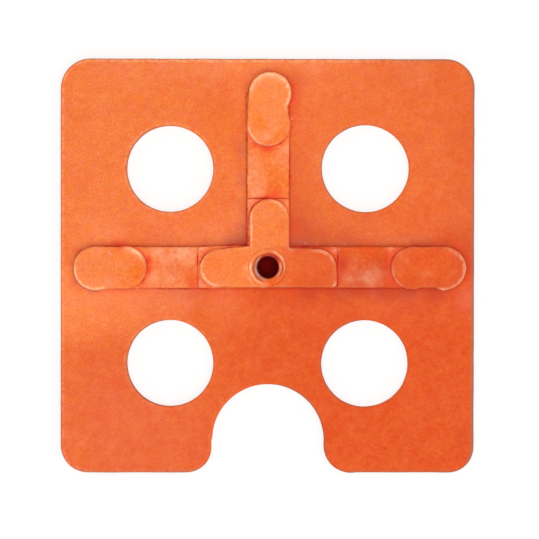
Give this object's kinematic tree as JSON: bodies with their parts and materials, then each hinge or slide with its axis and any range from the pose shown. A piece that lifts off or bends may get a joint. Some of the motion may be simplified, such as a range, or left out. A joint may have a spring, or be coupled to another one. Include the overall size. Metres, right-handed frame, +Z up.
{
  "type": "packing shim",
  "caption": "Square moulded rubber packing shim with a raised T rib, round holes and an open slot; it levels slabs and keeps a T joint open.",
  "frame": {"origin": "middle of the square plate's underside", "axes": "+Z up out of the face that carries the T rib; +Y along the T's upright; the open slot is on the -Y edge"},
  "size_m": [0.1, 0.1, 0.008],
  "materials": {
    "rubber": "matt moulded rubber"
  },
  "bodies": {
    "root": {"shim": "rubber"}
  },
  "joints": []
}
